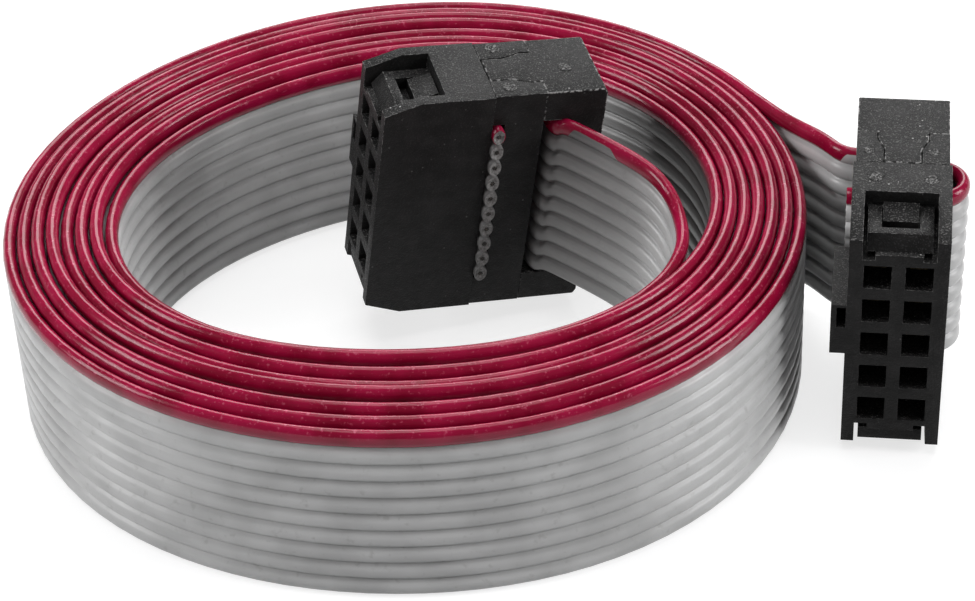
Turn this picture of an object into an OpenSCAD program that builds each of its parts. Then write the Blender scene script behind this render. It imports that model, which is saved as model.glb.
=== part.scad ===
// Ten-way flat ribbon cable, coiled standing on its edge, with a crimped 2 x 5 socket on each end.
// Millimetres. The coil's base plane is z = 0 and the box is centred on x and y.

/* [Ribbon] */
// Spacing of the socket's pins; the strands lie at half of it
pin_pitch = 2.54; // [2.4:0.02:2.6]
// Thickness of the flat cable over its strands
ribbon_t = 0.84; // [0.7:0.02:0.84]
// How far the cut end stands out of the socket's side
cut_proud = 0.3; // [0.1:0.05:0.6]

/* [Coil] */
// Mean radius of the innermost turn
coil_r = 17.5; // [17:0.1:20]
// Half of how much wider the coil is than it is deep
coil_oval = 1.4; // [0:0.1:2]
// How far the innermost turn is pushed to the front
coil_front = 1; // [0:0.05:1.4]
// How far the innermost turn is pushed to the right
coil_right = 0.55; // [0:0.05:0.8]
// Mean spacing of the turns
turn_pitch = 0.96; // [0.96:0.01:1.1]
// Extra gap between two pairs of turns at the front
front_gap = 0.64; // [0:0.02:1]

/* [Socket] */
// Width across the two rows of holes
socket_w = 6.1; // [5.9:0.05:6.6]
// Length beyond the five hole pitches
socket_ends = 4.6; // [4.4:0.1:5.4]
// Depth of the moulded body behind the mating face
body_d = 7.25; // [7.05:0.05:8.4]
// Depth of the crimp cover with its ribbon groove
cover_d = 3.45; // [3.1:0.05:3.8]
// Depth of the strain relief bar with its ribbon groove
relief_d = 4.15; // [3.6:0.05:4.6]
// Depth of the slot in which the ribbon slants through the strain relief
slot_d = 1.8; // [1.8:0.05:2.1]
// Length of the sloped nose at each end of the body
nose_d = 2.4; // [1.6:0.1:2.6]
// Drop of the sloped nose at each end of the body
nose_drop = 0.85; // [0.5:0.05:1.1]
// Side of a square contact hole
hole = 1.7; // [1.6:0.02:1.76]
// Depth of a contact hole
hole_d = 6; // [5.8:0.1:6.2]
// Length of the polarising key along the socket
key_l = 3.7; // [3:0.1:4.4]
// How far the polarising key stands out
key_h = 0.95; // [0.6:0.05:1.2]
// Depth of the polarising key behind the mating face
key_d = 6.2; // [4:0.1:6.6]

/* [Latches] */
// Width of the window in each end of the body
window_w = 4.5; // [4.2:0.1:4.8]
// Depth of the window behind the mating face
window_d = 4.1; // [3.8:0.1:4.4]
// Width of the cover's latch arm
arm_w = 4; // [3.4:0.1:4.2]
// Thickness of the cover's latch arm
arm_t = 0.88; // [0.7:0.02:0.96]
// Width of the body's latch wedge
wedge_w = 2.2; // [1.8:0.1:2.4]
// Width of the strain relief's tongue at its tip
tongue_w = 2.3; // [1.8:0.1:2.6]
// Width of the strain relief's tongue at its root
tongue_root_w = 3.2; // [3:0.1:3.6]

/* [Contacts] */
// Thickness of the contact's sheet metal
sheet = 0.3; // [0.22:0.02:0.32]
// Gap between the two spring beams at their throat
throat = 0.5; // [0.4:0.02:0.6]
// Width of a spring beam
beam_w = 1.1; // [0.9:0.05:1.3]

/* [Placing] */
// Lean of the inner socket over its side
side_lean = 5.8; // [4:0.1:7]
// Lean of the inner socket over its back
back_lean = 7; // [5:0.1:7.5]
// Turn of the inner socket about the upright
inner_turn = 14.8; // [12:0.1:17]
// Turn of the outer socket about the upright
outer_turn = -8.5; // [-10:0.5:-6]

/* [Hidden] */

strands = 10;
columns = strands / 2;
strand_pitch = pin_pitch / 2;
ribbon_w = strands * strand_pitch;
side_fit = 0.15;
clear = 0.03;
cut_over = 1;

// Colours of the pieces
grey = [0.72, 0.73, 0.73];
black = [0.1, 0.1, 0.1];
brass = [0.8, 0.66, 0.35];

// The socket lies with its mating face at y = 0, its length along z and its rows side by side in x
socket_l = columns * pin_pitch + socket_ends;
mid_z = socket_l / 2;
mid_x = socket_w / 2;
row_x = pin_pitch / 2;
ribbon_z = mid_z - ribbon_w / 2;
cover_y = body_d;
relief_y = body_d + cover_d;
back_y = relief_y + relief_d;
side_x = [side_fit, socket_w - side_fit];

// The fold: in at the strain relief, round the cover's edge and back under the cover
groove = ribbon_t + clear;
front_y = cover_y + ribbon_t / 2;
rear_y = relief_y + ribbon_t / 2;
fold_y = (front_y + rear_y) / 2;
fold_r = (rear_y - front_y) / 2;
fold_out = 0.85;
fold_x = socket_w + fold_out - fold_r;
mouth_in = 0.1;
arc_steps = 12;

// How each ribbon leaves its slot: slant in the slot, heading after the bend, radius of the bend
inner_exit = [4, 58, 0.6];
outer_exit = [10, 27, 1.5];

// The spiral runs clockwise from the back of its inner end; turn 0 is the front of the first turn
coil_c = [-6.5, -5.5];
turn_start = -50 / 360;
turn_end = 7.64;
steps = 60;
skew = 0.27;
third = [-0.2, -0.33];
pitch_side = -0.045;
pitch_back = 0.09;
pitch_left = -0.03;
pitch_skew = -0.03;
loose_after = [1.5, 4.5];

function azimuth(t) = 270 - 360 * t;
function first_turn(a) = coil_r + coil_oval * cos(2 * a) + skew * sin(2 * a)
    + coil_right * cos(a) - coil_front * sin(a) + third[0] * cos(3 * a) + third[1] * sin(3 * a);
function spacing(a) = turn_pitch + pitch_side * cos(2 * a) + pitch_skew * sin(2 * a)
    + pitch_left * cos(a) + pitch_back * sin(a);
function loosened(t) = (t > loose_after[0] ? 1 : 0) + (t > loose_after[1] ? 1 : 0);
function slack(t, a) = front_gap * loosened(t) * pow(max(0, -sin(a)), 2);
function turn_r(t) = first_turn(azimuth(t)) + spacing(azimuth(t)) * t + slack(t, azimuth(t));
function unit(v) = v / norm(v);
function beside_turn(t, out) = coil_c + (turn_r(t) + out) * [cos(azimuth(t)), sin(azimuth(t))];
function coil_at(t) = beside_turn(t, 0);
function coil_way(t) = unit(coil_at(t + 0.0005) - coil_at(t - 0.0005));
function left_of(v) = [-v[1], v[0]];

function turn_at(i) = turn_start + (turn_end - turn_start) * i / coil_n;
coil_n = ceil((turn_end - turn_start) * steps);
coil_line = [for (i = [0 : coil_n]) [coil_at(turn_at(i)), left_of(coil_way(turn_at(i)))]];

function side_line(line, d) = [for (p = line) p[0] + d * p[1]];
function turned_round(pts) = [for (i = [len(pts) - 1 : -1 : 0]) pts[i]];
function band(line) = concat(side_line(line, ribbon_t / 2), turned_round(side_line(line, -ribbon_t / 2)));

// Centre line of the fold with its left normals, the cut end at x = 0
function slot_end(slant) = fold_x + fold_r * sin(slant) + mouth_in;
function mouth_at(slant) = [-mouth_in, fold_y + fold_r * cos(slant) + slot_end(slant) * tan(slant)];
function bent(exit, a) = mouth_at(exit[0])
    + exit[2] * [sin(exit[0]) - sin(a), cos(exit[0]) - cos(a)];
function fold_line(exit) = concat(
    [[[-cut_proud, front_y], [0, 1]]],
    [for (i = [0 : arc_steps]) let (a = -90 + (180 - exit[0]) * i / arc_steps)
        [[fold_x, fold_y] + fold_r * [cos(a), sin(a)], [-cos(a), -sin(a)]]],
    [for (i = [0 : arc_steps]) let (a = exit[0] + (exit[1] - exit[0]) * i / arc_steps)
        [bent(exit, a), [-sin(a), -cos(a)]]]);
function fold_end(exit) = [each bent(exit, exit[1]), mid_z];
function fold_way(exit) = [-cos(exit[1]), sin(exit[1]), 0];

function about_x(p, a) = [p[0], cos(a) * p[1] - sin(a) * p[2], sin(a) * p[1] + cos(a) * p[2]];
function about_y(p, a) = [cos(a) * p[0] + sin(a) * p[2], p[1], -sin(a) * p[0] + cos(a) * p[2]];
function about_z(p, a) = [cos(a) * p[0] - sin(a) * p[1], sin(a) * p[0] + cos(a) * p[1], p[2]];

// Corner of the inner socket that lies at its mating face, far side and foot
inner_at = [-11.28, 0.42, 3.43];
// The outer socket's corner stands off the coil: at this turn, this far beyond it
outer_by = [turn_end + 0.1796, 3.3];
outer_at = [each beside_turn(outer_by[0], outer_by[1]), 0];
function inner_turned(p) = about_z(about_y(about_x(about_z(p, -90), side_lean), back_lean), inner_turn);
function outer_turned(p) = about_z(p, outer_turn);
function flipped(p) = [socket_w - p[0], p[1], p[2]];
function flipped_way(p) = [-p[0], p[1], p[2]];

// Free stretches between the sockets and the coil. Points in the open lie by shares of the way from the
// first end to the last: along it, beside it and up it. Points at the coil lie by turn, by thicknesses of
// the ribbon beside it and by share of the rise to the socket.
inner_open = [[0.114, -0.155, 0.084], [0.283, -0.288, 0.276], [0.437, -0.36, 0.467], [0.602, -0.369, 0.658]];
inner_near = [[turn_start - 0.051, -0.36, 0.18], [turn_start - 0.026, -0.18, 0.07]];
outer_near = [[turn_end + 0.025, 0, 0.02], [turn_end + 0.05, 0, 0.072], [turn_end + 0.07, 0.17, 0.288]];
outer_open = [[0.752, -0.018, 0.599], [0.894, -0.012, 0.859]];
function by_share(a, b, p) = let (d = b - a)
    [a[0] + p[0] * d[0] + p[1] * d[1], a[1] + p[0] * d[1] - p[1] * d[0], a[2] + p[2] * d[2]];
function by_turn(p, top) = [each beside_turn(p[0], p[1] * ribbon_t),
    ribbon_w / 2 + p[2] * (top - ribbon_w / 2)];
rings = 30;
lead_in = 1.4 * ribbon_t;

inner_start = inner_at + inner_turned(flipped(fold_end(inner_exit)));
inner_way = inner_turned(flipped_way(fold_way(inner_exit)));
inner_up = inner_turned([0, 0, 1]);
inner_stop = [each coil_at(turn_start), ribbon_w / 2];
inner_stop_way = [each coil_way(turn_start), 0];
outer_start = [each coil_at(turn_end), ribbon_w / 2];
outer_start_way = [each coil_way(turn_end), 0];
outer_stop = outer_at + outer_turned(fold_end(outer_exit));
outer_stop_way = -outer_turned(fold_way(outer_exit));
inner_route = concat([for (p = inner_open) by_share(inner_start, inner_stop, p)],
    [for (p = inner_near) by_turn(p, inner_start[2])]);
outer_route = concat([for (p = outer_near) by_turn(p, outer_stop[2])],
    [for (p = outer_open) by_share(outer_start, outer_stop, p)]);

function through(route, p0, w0, p1, w1) = concat([p0 - lead_in * w0, p0], route, [p1, p1 + lead_in * w1]);
function spline(k, s) = let (n = len(k) - 3, i = min(floor(s * n), n - 1), f = s * n - i)
    0.5 * (2 * k[i + 1] + (k[i + 2] - k[i]) * f
        + (2 * k[i] - 5 * k[i + 1] + 4 * k[i + 2] - k[i + 3]) * f * f
        + (3 * k[i + 1] - k[i] - 3 * k[i + 2] + k[i + 3]) * f * f * f);
function eased(s) = s * s * (3 - 2 * s);
function ring(c, way, up) = let (n = unit(cross(way, up)) * ribbon_t / 2, h = up * ribbon_w / 2)
    [c + n - h, c - n - h, c - n + h, c + n + h];
function way_at(k, s, w0, w1) = s == 0 ? w0 : s == 1 ? w1 : unit(spline(k, s + 0.004) - spline(k, s - 0.004));
function lead_points(k, w0, w1, u0, u1) = [for (i = [0 : rings]) let (s = i / rings)
    each ring(spline(k, s), way_at(k, s, w0, w1), unit(u0 + (u1 - u0) * eased(s)))];
lead_sides = [for (i = [0 : rings - 1], j = [0 : 3]) let (a = 4 * i + j, b = 4 * i + (j + 1) % 4)
    each [[a, b, b + 4], [a, b + 4, a + 4]]];
lead_faces = concat([[3, 2, 1, 0]], lead_sides, [[for (j = [0 : 3]) 4 * rings + j]]);

// Box of the whole object, which centres it
outer_fold_line = fold_line(outer_exit);
outer_edge = side_line(outer_fold_line, -ribbon_t / 2);
outer_x = [for (p = outer_edge) (outer_at + outer_turned([p[0], p[1], 0]))[0]];
coil_band = band(coil_line);
box_x = [min([for (p = coil_band) p[0]]), max(outer_x)];
box_y = [min([for (p = coil_band) p[1]]), max([for (p = coil_band) p[1]])];
centring = -[box_x[0] + box_x[1], box_y[0] + box_y[1], 0] / 2;

// Rows and columns of the contacts; an even strand's contact stands in the second row
function column(n) = ceil(n / 2);
function contact_z(n) = mid_z + ((columns + 1) / 2 - column(n)) * pin_pitch;
function contact_x(n) = mid_x + (n % 2 == 1 ? -row_x : row_x);
function fork_z(n) = mid_z + ((strands + 1) / 2 - n) * strand_pitch;

// Latch sizes: the arm runs under the body's end wall into the window and its bar hooks before the wedge.
// An arm's tip has its distance behind the mating face and the length of its slope.
arm_z = 1;
arm_fit = 0.06;
window_floor = 1.9;
window_notch = 0.4;
notch_w = 0.8;
arm_tip = [0.4, 0.7];
foot_tip = [0.2, 0];
wedge_y = [2.5, 4];
wedge_top = [1.1, 0.7];
arm_hole_y = [1.7, 4.06];
seam_edge = 0.1;
tongue_z = 1;
tongue_y = [0.75, 1.9];
relief_edge = 0.2;
relief_edge_z = 0.35;
pocket_w = 0.6;
pocket_l = 1.5;
pocket_d = 2;
pocket_edge = 0.2;
key_up = 1;

// Contact sizes
fork_slot = 0.22;
tine_w = 0.3;
tine_fit = 0.1;
fork_w = fork_slot + 2 * tine_w;
fork_tip_y = body_d + ribbon_t + 0.75;
fork_slot_y = body_d - 0.15;
base_y = [5.1, 5.5];
mouth_y = 2;
throat_y = 2.8;
flare = 0.3;
beam_t = 0.24;
beam_root = 0.5;

module both_ends() {
    children();
    translate([0, 0, socket_l]) mirror([0, 0, 1]) children();
}

// A prism across the socket from a profile drawn in y and z
module across(x0, x1) {
    translate([x0, 0, 0]) rotate([90, 0, 90]) linear_extrude(x1 - x0) children();
}

module body_outline() {
    polygon([[0, nose_drop], [nose_d, 0], [body_d, 0], [body_d, socket_l], [nose_d, socket_l],
        [0, socket_l - nose_drop]]);
}

module body_window() {
    x0 = mid_x - window_w / 2;
    translate([x0, -cut_over, -cut_over]) cube([window_w, window_d + cut_over, window_floor + cut_over]);
    for (x = [x0, x0 + window_w - notch_w])
        translate([x, -cut_over, window_floor - clear])
            cube([notch_w, window_d + cut_over, window_notch + clear]);
    translate([mid_x - arm_w / 2 - arm_fit, window_d - clear, arm_z - arm_fit])
        cube([arm_w + 2 * arm_fit, body_d, window_floor - arm_z + arm_fit]);
}

module body_wedge() {
    across(mid_x - wedge_w / 2, mid_x + wedge_w / 2)
        polygon([[wedge_y[0], wedge_top[0]], [wedge_y[0], window_floor + clear],
            [wedge_y[1], window_floor + clear], [wedge_y[1], wedge_top[1]]]);
}

module body_key() {
    key_z = mid_z + key_up - key_l / 2;
    difference() {
        translate([-key_h, 0, key_z]) cube([key_h + clear, key_d, key_l]);
        translate([-pocket_w, -cut_over, key_z + key_l - pocket_l - pocket_edge])
            cube([pocket_w - clear, pocket_d + cut_over, pocket_l]);
    }
}

module socket_body() {
    color(black) {
        difference() {
            across(0, socket_w) body_outline();
            both_ends() body_window();
            for (n = [1 : strands]) {
                translate([contact_x(n) - hole / 2, -cut_over, contact_z(n) - hole / 2])
                    cube([hole, hole_d + cut_over, hole]);
                translate([contact_x(n) - sheet / 2 - clear, hole_d - clear, fork_z(n) - fork_w / 2 - clear])
                    cube([sheet + 2 * clear, body_d, fork_w + 2 * clear]);
            }
        }
        both_ends() body_wedge();
        body_key();
    }
}

// The cover's middle is rounded where the ribbon turns round it
module cover_core(flip) {
    x = flip ? side_x[0] : fold_x;
    turn_x = flip ? socket_w - fold_x : fold_x;
    translate([0, 0, ribbon_z - clear]) linear_extrude(ribbon_w + 2 * clear) intersection() {
        translate([side_x[0], cover_y]) square([side_x[1] - side_x[0], cover_d]);
        union() {
            translate([flip ? turn_x : side_x[0], cover_y + groove])
                square([flip ? side_x[1] - turn_x : turn_x - side_x[0], cover_d - groove]);
            translate([turn_x, fold_y]) circle(fold_r - ribbon_t / 2 - clear, $fn = 48);
        }
    }
}

module cover_end() {
    translate([side_x[0], cover_y, 0]) cube([side_x[1] - side_x[0], cover_d, ribbon_z - clear]);
}

module tongue_shape(grow) {
    root = tongue_root_w / 2 + grow;
    tip = tongue_w / 2 + grow;
    polygon([[mid_x - root, relief_y + clear], [mid_x - root, relief_y - tongue_y[0]],
        [mid_x - tip, relief_y - tongue_y[1]], [mid_x - tip, cover_y + seam_edge - grow],
        [mid_x + tip, cover_y + seam_edge - grow], [mid_x + tip, relief_y - tongue_y[1]],
        [mid_x + root, relief_y - tongue_y[0]], [mid_x + root, relief_y + clear]]);
}

module latch_arm(tip) {
    difference() {
        across(mid_x - arm_w / 2, mid_x + arm_w / 2)
            polygon([[tip[0], arm_z + arm_t], [tip[0] + tip[1], arm_z], [cover_y + clear, arm_z],
                [cover_y + clear, arm_z + arm_t]]);
        translate([mid_x - wedge_w / 2 - arm_fit, arm_hole_y[0], 0])
            cube([wedge_w + 2 * arm_fit, arm_hole_y[1] - arm_hole_y[0], window_floor]);
    }
}

module socket_cover(flip) {
    color(black) difference() {
        union() {
            cover_core(flip);
            both_ends() cover_end();
            latch_arm(foot_tip);
            translate([0, 0, socket_l]) mirror([0, 0, 1]) latch_arm(arm_tip);
        }
        both_ends() translate([0, 0, -cut_over]) linear_extrude(tongue_z + cut_over + arm_fit)
            tongue_shape(arm_fit);
        for (n = [1 : strands])
            translate([contact_x(n) - sheet / 2 - tine_fit, cover_y + ribbon_t - clear,
                fork_z(n) - fork_w / 2 - tine_fit])
                cube([sheet + 2 * tine_fit, fork_tip_y - body_d - ribbon_t + 2 * tine_fit, fork_w + 2 * tine_fit]);
        both_ends() across(-cut_over, socket_w + cut_over)
            polygon([[cover_y - clear, -clear], [cover_y + seam_edge, -clear], [cover_y - clear, seam_edge]]);
    }
}

module strain_relief() {
    color(black) {
        difference() {
            across(side_x[0], side_x[1])
                polygon([[relief_y, 0], [back_y - relief_edge, 0], [back_y, relief_edge_z],
                    [back_y, socket_l - relief_edge_z], [back_y - relief_edge, socket_l],
                    [relief_y, socket_l]]);
            translate([-cut_over, relief_y - cut_over, ribbon_z - clear])
                cube([socket_w + 2 * cut_over, slot_d + cut_over, ribbon_w + 2 * clear]);
        }
        both_ends() linear_extrude(tongue_z) tongue_shape(0);
    }
}

module fold(exit, flip) {
    color(grey) translate([0, 0, ribbon_z]) difference() {
        translate([flip ? socket_w : 0, 0, 0]) mirror([flip ? 1 : 0, 0, 0])
            linear_extrude(ribbon_w) polygon(band(fold_line(exit)));
        for (n = [1 : strands], side = [-1, 1])
            translate([contact_x(n), front_y, fork_z(n) - ribbon_z + side * (fork_slot + tine_w) / 2])
                cube([sheet + 2 * clear, 2 * ribbon_t, tine_w + 2 * clear], center = true);
    }
}

// The fork's two tines stand astride one strand
module fork_shape(n) {
    z = fork_z(n);
    w = fork_w / 2;
    s = fork_slot / 2;
    side = n % 2 == 1 ? 1 : -1;
    polygon([[base_y[0] + clear, contact_z(n) + side * w], [hole_d, contact_z(n) + side * w],
        [hole_d, z - side * w], [fork_tip_y - w, z - side * w], [fork_tip_y, z - side * (s + clear)],
        [fork_slot_y + s, z - side * s], [fork_slot_y, z], [fork_slot_y + s, z + side * s],
        [fork_tip_y, z + side * (s + clear)], [fork_tip_y - w, z + side * w], [hole_d + clear, z + side * w],
        [hole_d - clear, contact_z(n) + side * (hole / 2 - 2 * clear)],
        [base_y[0] + clear, contact_z(n) + side * (hole / 2 - 2 * clear)]]);
}

module beam_shape(side) {
    h = throat / 2;
    polygon([for (p = [[mouth_y, h + flare], [throat_y, h], [base_y[0] + clear, beam_root],
        [base_y[0] + clear, beam_root + beam_t], [throat_y, h + beam_t], [mouth_y, h + flare + beam_t * 0.6]])
        [p[0], side * p[1]]]);
}

module contact(n) {
    color(brass) {
        across(contact_x(n) - sheet / 2, contact_x(n) + sheet / 2) fork_shape(n);
        across(contact_x(n) - beam_w / 2, contact_x(n) + beam_w / 2) translate([0, contact_z(n)]) {
            for (side = [-1, 1]) beam_shape(side);
            translate([base_y[0], -beam_root - beam_t])
                square([base_y[1] - base_y[0], 2 * (beam_root + beam_t)]);
        }
    }
}

module lead(points) {
    color(grey) translate(centring) polyhedron(points, lead_faces, convexity = 4);
}

module in_inner() {
    translate(centring + inner_at) rotate([side_lean, back_lean, inner_turn]) rotate([0, 0, -90]) children();
}

module in_outer() {
    translate(centring + outer_at) rotate([0, 0, outer_turn]) children();
}

module cable_coil() {
    color(grey) translate(centring) linear_extrude(ribbon_w) polygon(coil_band);
}

module cable_inner_lead() {
    k = through(inner_route, inner_start, inner_way, inner_stop, inner_stop_way);
    lead(lead_points(k, inner_way, inner_stop_way, inner_up, [0, 0, 1]));
}

module cable_outer_lead() {
    k = through(outer_route, outer_start, outer_start_way, outer_stop, outer_stop_way);
    lead(lead_points(k, outer_start_way, outer_stop_way, [0, 0, 1], [0, 0, 1]));
}

cable_coil();
cable_inner_lead();
in_inner() fold(inner_exit, true);  // cable_inner_fold
cable_outer_lead();
in_outer() fold(outer_exit, false);  // cable_outer_fold
in_inner() socket_body();  // inner_socket_body
in_inner() socket_cover(true);  // inner_socket_cover
in_inner() strain_relief();  // inner_strain_relief
in_outer() socket_body();  // outer_socket_body
in_outer() socket_cover(false);  // outer_socket_cover
in_outer() strain_relief();  // outer_strain_relief
in_inner() contact(1);  // inner_contact_01
in_inner() contact(2);  // inner_contact_02
in_inner() contact(3);  // inner_contact_03
in_inner() contact(4);  // inner_contact_04
in_inner() contact(5);  // inner_contact_05
in_inner() contact(6);  // inner_contact_06
in_inner() contact(7);  // inner_contact_07
in_inner() contact(8);  // inner_contact_08
in_inner() contact(9);  // inner_contact_09
in_inner() contact(10);  // inner_contact_10
in_outer() contact(1);  // outer_contact_01
in_outer() contact(2);  // outer_contact_02
in_outer() contact(3);  // outer_contact_03
in_outer() contact(4);  // outer_contact_04
in_outer() contact(5);  // outer_contact_05
in_outer() contact(6);  // outer_contact_06
in_outer() contact(7);  // outer_contact_07
in_outer() contact(8);  // outer_contact_08
in_outer() contact(9);  // outer_contact_09
in_outer() contact(10);  // outer_contact_10
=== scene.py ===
"""Flat ribbon cable, coiled standing on its edge, with a crimped two-row socket on each end.

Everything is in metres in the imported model's frame. The cable's ten strands go in at the inner socket,
round the coil and out to the outer socket. Along the coil they keep to the solids in plan. The heights of
the turns, the two free leads and the way out of the slots follow the photograph more closely, and stand up
to 0.7 mm off the solids.
"""

import logging
import math
from dataclasses import dataclass, field
from enum import Enum

import bmesh
import bpy
import numpy as np
from mathutils import Matrix, Vector

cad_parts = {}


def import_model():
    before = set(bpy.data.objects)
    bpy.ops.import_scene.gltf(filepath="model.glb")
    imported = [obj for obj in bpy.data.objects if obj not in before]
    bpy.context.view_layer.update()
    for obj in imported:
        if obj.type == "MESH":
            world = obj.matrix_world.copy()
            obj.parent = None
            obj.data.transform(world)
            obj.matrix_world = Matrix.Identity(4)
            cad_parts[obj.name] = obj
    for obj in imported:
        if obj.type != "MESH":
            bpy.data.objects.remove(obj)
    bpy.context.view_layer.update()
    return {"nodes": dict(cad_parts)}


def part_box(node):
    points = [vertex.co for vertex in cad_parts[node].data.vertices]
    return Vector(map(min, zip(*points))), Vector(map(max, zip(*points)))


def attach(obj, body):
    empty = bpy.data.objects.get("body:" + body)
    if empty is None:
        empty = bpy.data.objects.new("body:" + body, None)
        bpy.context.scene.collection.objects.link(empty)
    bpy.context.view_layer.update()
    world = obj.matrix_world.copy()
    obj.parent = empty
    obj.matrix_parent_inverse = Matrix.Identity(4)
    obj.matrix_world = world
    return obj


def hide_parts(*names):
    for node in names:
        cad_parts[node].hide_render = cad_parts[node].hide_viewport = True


LOG = logging.getLogger("ribbon_cable")
MM = 0.001
ROOT = "root"
UP = np.array([0.0, 0.0, 1.0])
RAYS = ("Camera", "Glossy", "Transmission")


class Side(Enum):
    """The two ends of the cable."""

    INNER = "inner"
    OUTER = "outer"


class Slot(Enum):
    """Material slots of the part's record."""

    CABLE = "cable"
    HOUSING = "housing"
    CONTACT = "contact"


# Shader building


class Sock:
    """An output socket that takes part in Python expressions on values."""

    def __init__(self, tree: "Tree", socket: bpy.types.NodeSocket) -> None:
        """Wraps a socket.

        Args:
            tree: The tree that the socket's node is in.
            socket: The output socket.
        """
        self.tree = tree
        self.socket = socket

    def _math(self, operation: str, first: "Sock | float", second: "Sock | float" = 0.0) -> "Sock":
        """Adds a Math node.

        Args:
            operation: The node's operation.
            first: The first operand.
            second: The second operand.

        Returns:
            The node's value.
        """
        return self.tree.node("ShaderNodeMath", {"operation": operation}, {0: first, 1: second})

    def __add__(self, other: "Sock | float") -> "Sock":
        """Sum."""
        return self._math("ADD", self, other)

    def __sub__(self, other: "Sock | float") -> "Sock":
        """Difference."""
        return self._math("SUBTRACT", self, other)

    def __rsub__(self, other: "Sock | float") -> "Sock":
        """Difference from a number."""
        return self._math("SUBTRACT", other, self)

    def __mul__(self, other: "Sock | float") -> "Sock":
        """Product."""
        return self._math("MULTIPLY", self, other)

    def __truediv__(self, other: "Sock | float") -> "Sock":
        """Quotient."""
        return self._math("DIVIDE", self, other)

    def most(self, other: "Sock | float") -> "Sock":
        """The larger of two values."""
        return self._math("MAXIMUM", self, other)

    def rise(self, low: float, high: float) -> "Sock":
        """Smooth step.

        Args:
            low: The value at which the result is 0.
            high: The value at which the result is 1.

        Returns:
            The step's value, from 0 to 1.
        """
        return self.tree.node(
            "ShaderNodeMapRange",
            {"interpolation_type": "SMOOTHSTEP"},
            {"Value": self, "From Min": low, "From Max": high},
        )


class Tree:
    """A material's node tree with one Principled shader."""

    def __init__(self, name: str) -> None:
        """Makes the material.

        Args:
            name: The material's name.
        """
        self.material = bpy.data.materials.new(name)
        self.material.use_nodes = True
        self.nodes = self.material.node_tree.nodes
        self.links = self.material.node_tree.links
        self.shader = next(n for n in self.nodes if n.type == "BSDF_PRINCIPLED")

    def node(
        self,
        kind: str,
        settings: "dict[str, object] | None" = None,
        inputs: "dict[int | str, object] | None" = None,
        out: "int | str" = 0,
    ) -> Sock:
        """Adds a node.

        Args:
            kind: The node's type.
            settings: Its settings, set first.
            inputs: Values or links of its input sockets.
            out: The output socket that is handed back.

        Returns:
            That output socket.
        """
        made = self.nodes.new(kind)
        for name, value in (settings or {}).items():
            setattr(made, name, value)
        for name, value in (inputs or {}).items():
            self.put(made.inputs[name], value)
        return Sock(self, made.outputs[out])

    def put(self, target: bpy.types.NodeSocket, value: object) -> None:
        """Links or sets an input socket.

        Args:
            target: The input socket.
            value: A Sock, a number, a vector or an RGB colour.
        """
        if isinstance(value, Sock):
            self.links.new(value.socket, target)
        elif target.type == "RGBA" and len(value) == 3:
            target.default_value = (*value, 1.0)
        else:
            target.default_value = value

    def mix(self, factor: "Sock | float", first: object, second: object) -> Sock:
        """Mixes two colours.

        Args:
            factor: Share of the second colour.
            first: The first colour.
            second: The second colour.

        Returns:
            The mixed colour.
        """
        return self.node("ShaderNodeMix", {"data_type": "RGBA"}, {0: factor, 6: first, 7: second}, 2)

    def noise(self, scale: float, detail: float = 2.0, where: "Sock | None" = None) -> Sock:
        """Noise value.

        Args:
            scale: Cells per metre.
            detail: Octaves.
            where: The coordinates; the object's own when left out.

        Returns:
            The noise, around 0.5.
        """
        inputs = {"Vector": where or self.place(), "Scale": scale, "Detail": detail}
        return self.node("ShaderNodeTexNoise", None, inputs)

    def place(self) -> Sock:
        """The object's own coordinates."""
        return self.node("ShaderNodeTexCoord", None, None, "Object")

    def chart(self, name: str) -> Sock:
        """A map of the mesh by its name."""
        return self.node("ShaderNodeUVMap", {"uv_map": name})

    def part(self, vector: Sock, axis: int) -> Sock:
        """One part of a vector, by the number of its axis."""
        return self.node("ShaderNodeSeparateXYZ", None, {"Vector": vector}, axis)

    def seen(self) -> Sock:
        """1 for rays that show the background itself: the camera's, and those in gloss and glass."""
        rays = [self.node("ShaderNodeLightPath", None, None, f"Is {kind} Ray") for kind in RAYS]
        return rays[0].most(rays[1]).most(rays[2])

    def bump(self, height: Sock, strength: float, depth: float) -> Sock:
        """Bumped normal.

        Args:
            height: The height, 1 for the full depth.
            strength: The node's strength.
            depth: The depth in metres.

        Returns:
            The normal.
        """
        inputs = {"Strength": strength, "Distance": depth, "Height": height}
        return self.node("ShaderNodeBump", None, inputs)

    def finish(self, **sockets: object) -> bpy.types.Material:
        """Sets the Principled shader's sockets.

        Args:
            **sockets: Values or links, by the socket's name with _ for each space.

        Returns:
            The finished material.
        """
        for name, value in sockets.items():
            self.put(self.shader.inputs[name.replace("_", " ")], value)
        return self.material


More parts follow.
